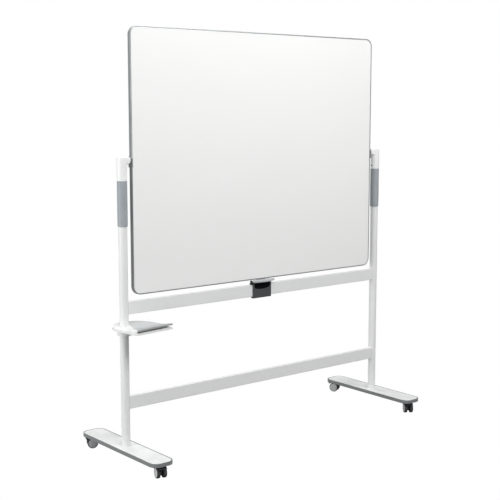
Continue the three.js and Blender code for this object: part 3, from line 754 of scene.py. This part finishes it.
def foot(name):
    """A dished base with a rim, and a cover let into it; the upright stands in the cover's hole."""
    low, high = millimetres(f"foot_base_{name}")
    width, length = high.x - low.x, high.y - low.y
    bottom, rim_top = low.z, high.z
    place = Matrix.Translation(((high.x + low.x) / 2 * MM, 0, 0))
    rim, floor, bolt_hole = 4.5, bottom + 6, 5.3
    base = foot_levels(width, length, [
        (1.6, bottom), (0.5, bottom + 0.5), (0, bottom + 1.6), (0, rim_top - 0.8),
        (0.25, rim_top - 0.25), (0.8, rim_top), (3.9, rim_top), (rim, rim_top - 0.6), (rim, floor),
    ])
    count = len(base[0])
    base += [hole_ring(bolt_hole, floor, count), hole_ring(bolt_hole, bottom, count)]
    add_piece(
        f"base_{name}", loft(base, closed=True), "stand", "foot_grey", [f"foot_base_{name}"], place,
    )
    low, high = millimetres(f"foot_cover_{name}")
    bottom, top = low.z, high.z
    edge, wall, plate = 4.8, 3.0, top - 3
    cover = foot_levels(width, length, [
        (edge, bottom), (edge, top - 1.6), (5.3, top - 0.6), (6.4, top - 0.1), (8.0, top),
    ])
    hole = [(TUBE_HOLE + 1.2, top), (TUBE_HOLE, top - 0.8), (TUBE_HOLE, plate)]
    cover += [hole_ring(radius, z, count) for radius, z in hole]
    cover += foot_levels(width, length, [(edge + wall, plate), (edge + wall, bottom)])
    add_piece(
        f"cover_{name}", loft(cover, closed=True), "stand", "white_plastic",
        [f"foot_cover_{name}"], place, "cover_white",
    )


for side, _ in SIDES:
    foot(side)


# ---------- Casters ----------

def caster_place(name):
    """Where a caster stands: X along its trail, Y across it, the origin on the floor under the stem."""
    joints = {j["name"]: j for j in frame["joints"]}
    swivel = Vector(joints[f"caster_swivel_{name}"]["pos_m"])
    axle = Vector(joints[f"wheel_a_spin_{name}"]["pos_m"])
    trail = Vector((axle.x - swivel.x, axle.y - swivel.y, 0)).normalized()
    across = Vector((-trail.y, trail.x, 0))
    return Matrix((
        (trail.x, across.x, 0, swivel.x), (trail.y, across.y, 0, swivel.y), (0, 0, 1, 0), (0, 0, 0, 1),
    ))


# The wheels' distance behind the stem, their radius, the width over both and the width of each tyre.
TRAIL, WHEEL, WIDTH, TYRE_WIDTH = 18.0, 25.0, 48.0, 16.7
# The radii of the holes for the stem, the axle and the pedal's pin.
STEM_HOLE, AXLE_HOLE, PEDAL_HOLE = 4.3, 3.3, 1.9
PEDAL_PIN = (35, 50)


def across_rings(profile, side, count=72):
    """Rings about the caster's axle from (radius, distance from the middle) pairs."""
    step = 2 * pi / count
    return [
        [(TRAIL + r * cos(i * step), side * y, WHEEL + r * sin(i * step)) for i in range(count)]
        for r, y in profile
    ]


def wheel(name, letter, side, place):
    """A dark tyre and core with a light stepped cap; side is 1 or -1 across the caster."""
    outer, inner = WIDTH / 2, WIDTH / 2 - TYRE_WIDTH
    tread = [
        (19.6, inner + 0.5), (21.5, inner), (23.6, inner + 0.5), (24.7, inner + 1.9),
        (WHEEL, inner + 4), (WHEEL, outer - 6), (24.75, outer - 3.4), (23.7, outer - 1.7),
        (22.2, outer - 1.0), (21.2, outer - 1.1), (20.8, outer - 2.4), (19.6, outer - 3.2),
    ]
    body = f"wheel_{letter}_{name}"
    add_piece(
        f"tyre_{letter}_{name}", loft(across_rings(tread, side), closed=True), body,
        "wheel_grey", [body], place, "tyre", 60,
    )
    core = [
        (3.3, inner), (5.5, inner), (6.5, inner + 1.5), (18.2, inner + 1.7), (19.4, inner + 0.9),
        (19.5, outer - 3.6), (4, outer - 3.6),
    ]
    add_piece(
        f"core_{letter}_{name}", loft(across_rings(core, side)), body, "wheel_grey", (),
        place, "tyre", 35,
    )
    hub = [
        (4, outer - 3.5), (19.5, outer - 3.5), (20.6, outer - 2.2), (20.7, outer - 1.2), (20.1, outer - 0.7),
        (18.3, outer - 0.55), (17.6, outer - 0.95), (17.0, outer - 0.95), (16.4, outer - 0.5),
        (9.0, outer - 0.1), (7.6, outer - 0.1), (7.1, outer - 0.8), (6.3, outer - 0.8),
        (5.8, outer - 0.2), (2.0, outer - 0.05),
    ]
    add_piece(f"hub_{letter}_{name}", loft(across_rings(hub, side)), body, "wheel_grey", (), place, sharp=35)


def hood(name, place):
    """A web between the wheels, a shell over their tops and lugs for the pedal."""
    centre = (TRAIL, WHEEL)
    shell = arc(centre, 29.95, 64, 158, 16) + arc(centre, 27.4, 158, 64, 16)
    web = rounded([
        (-8.3, 21), (-4, 9.4), (12, 9.4), (25.7, 12.3), (27.7, 22), (27.7, 50.5), (18, 54.3),
        (-4.8, 45), (-8.3, 40),
    ], [4, 4, 6, 6, 6, 2, 6, 2, 2], 4)
    neck = rounded([(-7.8, 38.5), (11.8, 38.5), (11.8, 54.9), (-4, 54.9), (-7.8, 51)], 1.2, 3)
    lug = rounded([(26.3, 51.4), (28.2, 50.2), (37.8, 47.2), (37.8, 51.8), (30, 52.3)], 0.7, 3)
    shape = union(
        prism(shell, -21.9, 21.9, "y", 0.8),
        prism(web, -6.4, 6.4, "y", 0.7),
        prism(neck, -6.3, 6.3, "y", 0.5),
        prism(lug, 20.1, 21.8, "y", 0.3),
        prism(lug, -21.8, -20.1, "y", 0.3),
    )
    stem_hole = rod(STEM_HOLE, 18, 60)
    axle_hole = rod(AXLE_HOLE, -12, 12, "y", centre)
    add_piece(
        f"hood_{name}", cut(shape, stem_hole, axle_hole), f"caster_{name}", "hood_black",
        [f"caster_hood_{name}"], place, sharp=34,
    )


def pedal(name, place):
    """A bent tread plate with ribs across it."""
    outline = arc(PEDAL_PIN, 3.5, 80, 262, 10) + [(47, 44.7), (49.6, 46.0), (49.9, 47.6), (49.4, 48.9)]
    shape = prism(outline, -19.6, 19.6, "y", 0.6)
    slope, rib = 0.27, 0.8
    ribs = []
    for i in range(4):
        x = 39.5 + 2.7 * i
        top = 53.2 - (x - PEDAL_PIN[0]) * slope
        ribs.append(prism(arc((x, top - 0.75), rib, 0, 360, 9)[:-1], -17, 17, "y"))
    shape = union(shape, *ribs)
    hole = rod(PEDAL_HOLE, -25, 25, "y", PEDAL_PIN, 16)
    add_piece(
        f"pedal_{name}", cut(shape, hole), f"brake_pedal_{name}", "hood_black",
        [f"brake_pedal_{name}"], place, sharp=34,
    )


def axle(name, place):
    rings = across_rings([(2.5, -18.9), (3, -18.4), (3, 18.4), (2.5, 18.9)], 1, 32)
    add_piece(f"axle_{name}", loft(rings), f"caster_{name}", "steel", [f"caster_axle_{name}"], place)


def stem(name, place):
    """A steel stem with a round flange under the foot."""
    shank, flange = 4, 9.95
    profile = [
        (shank - 0.6, 20), (shank, 20.6), (shank, 55.3), (9.4, 55.35), (flange, 55.7), (flange, 56.3),
        (9.5, 56.65), (shank, 56.7), (shank, 66.4), (shank - 0.6, 67),
    ]
    add_piece(
        f"stem_{name}", turned(profile, 40, closed=False), "stand", "steel", [f"caster_stem_{name}"], place,
    )


for caster in ("front_left", "front_right", "rear_right", "rear_left"):
    placed = caster_place(caster)
    wheel(caster, "a", 1, placed)
    wheel(caster, "b", -1, placed)
    hood(caster, placed)
    pedal(caster, placed)
    axle(caster, placed)
    stem(caster, placed)


# ---------- Latch ----------

# The paddle's pin as (y, z), the radius of its holes, the cheeks' width and the right end of the arm.
LATCH_PIN = (-4, 757)
LATCH_HOLE = 2.3
CHEEK = 7
ARM_RIGHT = 48


def latch_base():
    """A clip over the bar with a scooped face, a black sheet in the scoop that paints its shadow, and cheeks
    for the paddle's pin.
    """
    low, high = millimetres("latch_base")
    bar_low, bar_high = millimetres("crossbar_upper")
    left, right, front = low.x, high.x, low.y
    under, over = bar_low.z, bar_high.z
    gap, bar_face, flange = 0.3, 10.3, over + 5.3
    lip, hook = 2, over - 10
    clip = prism([
        (front, low.z), (lip, low.z), (lip, under - gap), (-bar_face, under - gap),
        (-bar_face, over + gap), (bar_face, over + gap), (bar_face, hook), (high.y, hook),
        (high.y, flange), (front, flange),
    ], left, right, "x")
    cheek = [(front, flange - 1), (high.y, flange - 1), (3, high.z), (-11, high.z)]
    shape = union(
        clip, prism(cheek, left, left + CHEEK, "x"), prism(cheek, right - CHEEK, right, "x"),
    )
    middle = (left + right) / 2
    half = middle - left - CHEEK
    scoop_level, sag, depth, above = 729, 11, 3.7, 790
    steps = 24
    angles = [pi * i / steps for i in range(steps + 1)]
    curve = [(middle + half * cos(t), scoop_level - sag * sin(t)) for t in angles]
    scoop = prism(
        curve + [(left + CHEEK, above), (right - CHEEK, above)], front - 1, front + depth, "y",
    )
    pin_hole = rod(LATCH_HOLE, left - 1, right + 1, "x", LATCH_PIN, 24)
    shape = cut(shape, scoop, pin_hole)
    bmesh.ops.dissolve_limit(shape, angle_limit=radians(1), verts=shape.verts[:], edges=shape.edges[:])
    round_edges(shape, 0.7, 2, 50)
    add_piece("latch_clip", shape, "stand", "anthracite", ["latch_base"], sharp=34)
    # A near-black sheet just inside the scoop's face: painted shade for the shadowed recess under the paddle.
    shade_sheet_top = flange - 0.4
    shade_sheet = prism(
        curve + [(left + CHEEK, shade_sheet_top), (right - CHEEK, shade_sheet_top)],
        front + depth - 0.3, front + depth + 0.1, "y",
    )
    add_piece(
        "scoop_painted_shade", shade_sheet, "stand", "black_plastic", ["latch_base"], material="painted_shade_black", sharp=34,
    )


def latch_arm():
    """A small black arm that carries the pin's left end."""
    low, high = millimetres("latch_side_arm")
    outline = rounded(
        [(-13.8, low.z), (2.8, low.z), (1, 763.6), (-11, 763.6), (-13.8, 760)], [1, 1, 3, 2, 2], 4,
    )
    pin_hole = rod(LATCH_HOLE, low.x - 1, high.x + 1, "x", LATCH_PIN, 24)
    shape = cut(prism(outline, low.x, high.x, "x", 0.8), pin_hole)
    add_piece("latch_arm", shape, "stand", "black_plastic", ["latch_side_arm"], sharp=34)


def latch_paddle():
    """A bowed paddle with a rolled front lip, on the barrel that turns on the pin."""
    low, high = millimetres("latch_lever")
    left, right, front = low.x, high.x, low.y
    middle, half = (left + right) / 2, (right - left) / 2
    inner = millimetres("latch_base")[0].x + (CHEEK + 1)
    back = -18.6
    rings = []
    steps = 40
    for i in range(steps + 1):
        s = -1 + 2 * i / steps
        x = middle + half * s
        # The front edge draws back toward both ends, and the ends themselves close softly.
        fall = abs(s) ** 2.4
        edge = front + 15 * fall + 0.2
        shrink = 1.6 * max(0.0, (abs(s) - 0.96) / 0.04) ** 2
        top_back, top_front = 766.1 - shrink, 765.0 - 0.4 * fall - shrink
        low_front, low_back = 754.8 + 1.2 * fall + shrink, 758.4 + shrink
        outline = rounded([
            (back, low_back), (edge + 9, 758.2 + shrink), (edge + 5.5, low_front), (edge, low_front),
            (edge, top_front), (back, top_back),
        ], [0.4, 2, 1.2, 1.6, 3.4, 0.8], 5)
        rings.append([(x, y, z) for y, z in outline])
    plate = loft(rings)
    arm = prism(
        [(-19.5, 758.6), (-4, 753.4), (-4, 762.2), (-9.6, 766.0), (-19.5, 766.0)],
        inner, ARM_RIGHT, "x", 0.4,
    )
    pad_seat = arc(LATCH_PIN, 9.6, 54, 126, 10) + arc(LATCH_PIN, 5, 126, 54, 10)
    arm = cut(arm, prism(pad_seat, -30.5, 25.5, "x"))
    barrel = rod(5.95, inner, ARM_RIGHT, "x", LATCH_PIN, 40, 0.4)
    shape = union(plate, arm, barrel)
    shape = cut(shape, rod(LATCH_HOLE, -70, 70, "x", LATCH_PIN, 24))
    add_piece("paddle", shape, "latch_lever", "paddle_grey", ["latch_lever"], sharp=34)


def latch_pad():
    """A curved rubber strip on the barrel, under the board's lower edge."""
    outline = arc(LATCH_PIN, 9.25, 62, 118, 12) + arc(LATCH_PIN, 6.6, 118, 62, 12)
    shape = prism(outline, -29.9, 24.9, "x", 0.6)
    add_piece("pad", shape, "latch_lever", "black_rubber", ["latch_pad"], sharp=34)


latch_base()
latch_arm()
latch_paddle()
latch_pad()


# ---------- Tray ----------

# The tray is drawn square to the board round the upright's axis, then turned and set on the upright.
TRAY_PLACE = Matrix.Translation((-UPRIGHT_X * MM, 0, 0)) @ Matrix.Rotation(radians(7), 4, "Z")
# The centre of its round back, half its width, and its front edge.
TRAY_X, TRAY_Y, TRAY_HALF, TRAY_FRONT = 43.0, -32.0, 108.1, -161.9
LEFT_CORNER, RIGHT_CORNER = 22.0, 5.0
# The height of its flat top, the line where the ramp to the front begins, and the ramp's end.
TRAY_TOP, RAMP_START, RAMP_TOP = 631.9, -88.0, 645.4
TRAY_HOLE = 20.4


def tray_outline(inset=0.0):
    """A half round back, straight sides, a round left corner and a small right one at the front."""
    half, corner, tip = TRAY_HALF - inset, LEFT_CORNER - inset, max(RIGHT_CORNER - inset, 1.5)
    left, right, front = TRAY_X - half, TRAY_X + half, TRAY_FRONT + inset

    def side(x, radius):
        """Points down a straight side, from the round back to the front corner's bend."""
        return [(x, TRAY_Y + (front + radius - TRAY_Y) * i / 10) for i in range(1, 10)]

    points = arc((TRAY_X, TRAY_Y), half, 0, 180, 48)
    points += side(left, corner)
    points += arc((left + corner, front + corner), corner, 180, 270, 12)
    points += [
        (left + corner + (right - left - corner - tip) * i / 20, front) for i in range(1, 20)
    ]
    points += arc((right - tip, front + tip), tip, 270, 360, 12)
    points += reversed(side(right, tip))
    return points


def tray_top(y):
    """Height of the upper surface: flat at the back, then a straight ramp up to the front edge."""
    t = max(0.0, (RAMP_START - y) / (RAMP_START - TRAY_FRONT))
    return TRAY_TOP + (RAMP_TOP - TRAY_TOP) * t


def bore_ring(radius, z):
    """A ring round the upright, each point on the line to the outline's matching point."""
    angles = [atan2(y, x) for x, y in tray_outline()]
    return [(radius * cos(angle), radius * sin(angle), z) for angle in angles]


def tray_plate():
    """The lower plate, its underside rounded up to the edge."""
    low, high = millimetres("tray_lower")
    bottom, top = low.z, high.z
    levels = [
        (3, bottom), (1, bottom + 0.5), (0.15, bottom + 1.8), (0, bottom + 3), (0, top - 0.7),
        (0.2, top - 0.2), (0.7, top),
    ]
    rings = [[(x, y, z) for x, y in tray_outline(inset)] for inset, z in levels]
    rings += [bore_ring(TRAY_HOLE, top), bore_ring(TRAY_HOLE, bottom)]
    add_piece("tray_shell", loft(rings, closed=True), "tray", "white_plastic", ["tray_lower"], TRAY_PLACE)


def lid_body():
    """The whole upper shell, with the slot cut into its front and right side from below."""
    bottom = millimetres("tray_upper")[0].z
    rings = [[(x, y, bottom) for x, y in tray_outline(0.6)]]
    rings.append([(x, y, bottom + 0.5) for x, y in tray_outline(0.1)])
    rim = 2.2
    for inset, drop in ((0.1, 1.7), (0.45, 0.7), (1.2, 0.15), (rim, 0.0)):
        rings.append([(x, y, tray_top(y) - drop) for x, y in tray_outline(inset)])
    # The top closes in layers from the rim toward a small ring round the upright.
    layers, neck = 26, 22
    for i in range(1, layers):
        t = i / layers
        ring = []
        for x, y in tray_outline(rim):
            angle = atan2(y, x)
            px = x + (neck * cos(angle) - x) * t
            py = y + (neck * sin(angle) - y) * t
            ring.append((px, py, tray_top(py)))
        rings.append(ring)
    bevel = 0.8
    rings.append(bore_ring(TRAY_HOLE + bevel, TRAY_TOP))
    rings.append(bore_ring(TRAY_HOLE, TRAY_TOP - bevel))
    rings.append(bore_ring(TRAY_HOLE, bottom))
    left, right, front, back = -55.0, 156.0, TRAY_FRONT - 5, TRAY_FRONT + 42
    corners = [(left, front), (right, front), (right, back), (left, back)]
    ceiling = (633.0, 637.0, 634.5, 632.0)
    under = bottom - 1
    slot = loft([
        [(x, y, under) for x, y in corners],
        [(x, y, z) for (x, y), z in zip(corners, ceiling)],
    ])
    lip_bottom, thick = 643.6, TRAY_FRONT + 6
    undercut = prism([
        (front, lip_bottom), (TRAY_FRONT, lip_bottom), (thick, 633), (thick, under), (front, under),
    ], left - 20, right, "x")
    return cut(loft(rings, closed=True), slot, undercut)


def seam_block(side):
    """Everything left (-1) or right (1) of the lid's seam, from the slot's left end past the upright."""
    start, direction = Vector((-69.2, -185.4)), Vector((0.4726, 0.8813))
    length, half_gap, beyond, below, above = 320, 0.15, 220, 600, 660
    shift = Vector((direction.y, -direction.x)) * -half_gap * side
    near, far = start + shift, start + direction * length + shift
    edge = beyond * side
    corners = [(near.x, near.y), (far.x, far.y), (edge, far.y), (edge, near.y)]
    return prism(corners, below, above)


def tray_lid():
    """Grey on the side with the slot, white round the upright, with a fine seam between them."""
    for name, side, slot in (("tray_lid", -1, "tray_grey"), ("tray_neck", 1, "white_plastic")):
        shape = cut(lid_body(), seam_block(side))
        add_piece(name, shape, "tray", slot, ["tray_upper"], TRAY_PLACE, sharp=28)


def tray_collar():
    """A clamp ring under the tray with a narrow slit and a hole for its screw."""
    low, high = millimetres("tray_collar")
    outer, bottom, top = (high.x - low.x) / 2, low.z, high.z
    shape = turned([
        (TRAY_HOLE, bottom), (outer - 2.5, bottom), (outer - 0.7, bottom + 0.7), (outer, bottom + 2.5),
        (outer, top - 1), (outer - 0.3, top - 0.3), (outer - 1, top), (TRAY_HOLE, top),
    ], 72)
    slit = slab_box((-0.6, -outer - 1, bottom - 1), (0.6, -outer + 7, top + 1))
    turn = Matrix.Rotation(pi * 0.8, 3, "Z")
    bmesh.ops.rotate(slit, verts=slit.verts[:], cent=(0, 0, 0), matrix=turn)
    screw_hole = rod(3.2, 10, outer + 1, "y", (0, (bottom + top) / 2))
    add_piece(
        "collar", cut(shape, slit, screw_hole), "tray_collar", "white_plastic", ["tray_collar"],
        TRAY_PLACE, sharp=34,
    )


def tray_screw():
    """The collar's cylinder head screw, with a hexagon socket."""
    low, high = millimetres("tray_screw")
    middle, outer = (low.z + high.z) / 2, high.y
    shank, head, head_start = 2.9, 4.9, outer - 3.7
    profile = [
        (low.y + 0.1, shank), (head_start, shank), (head_start, head), (outer - 0.6, head),
        (outer, head - 0.6),
    ]
    socket = rod(2.2, outer - 2, outer + 1, "y", (0, middle), 6)
    add_piece(
        "clamp_screw", cut(about_y(profile, middle, 36), socket), "tray_collar", "dark_steel",
        ["tray_screw"], TRAY_PLACE, sharp=30,
    )


tray_plate()
tray_lid()
tray_collar()
tray_screw()


# ---------- CAD nodes that stay ----------

KEPT = {
    "board_core": "core_board", "latch_pin": "steel",
    "tube_plug_left": "black_plastic", "tube_plug_right": "black_plastic",
    "foot_bolt_left": "steel", "foot_bolt_right": "steel",
}
for node, material in KEPT.items():
    mesh = frame["nodes"][node].data
    mesh.materials.clear()
    mesh.materials.append(MATERIALS[material])
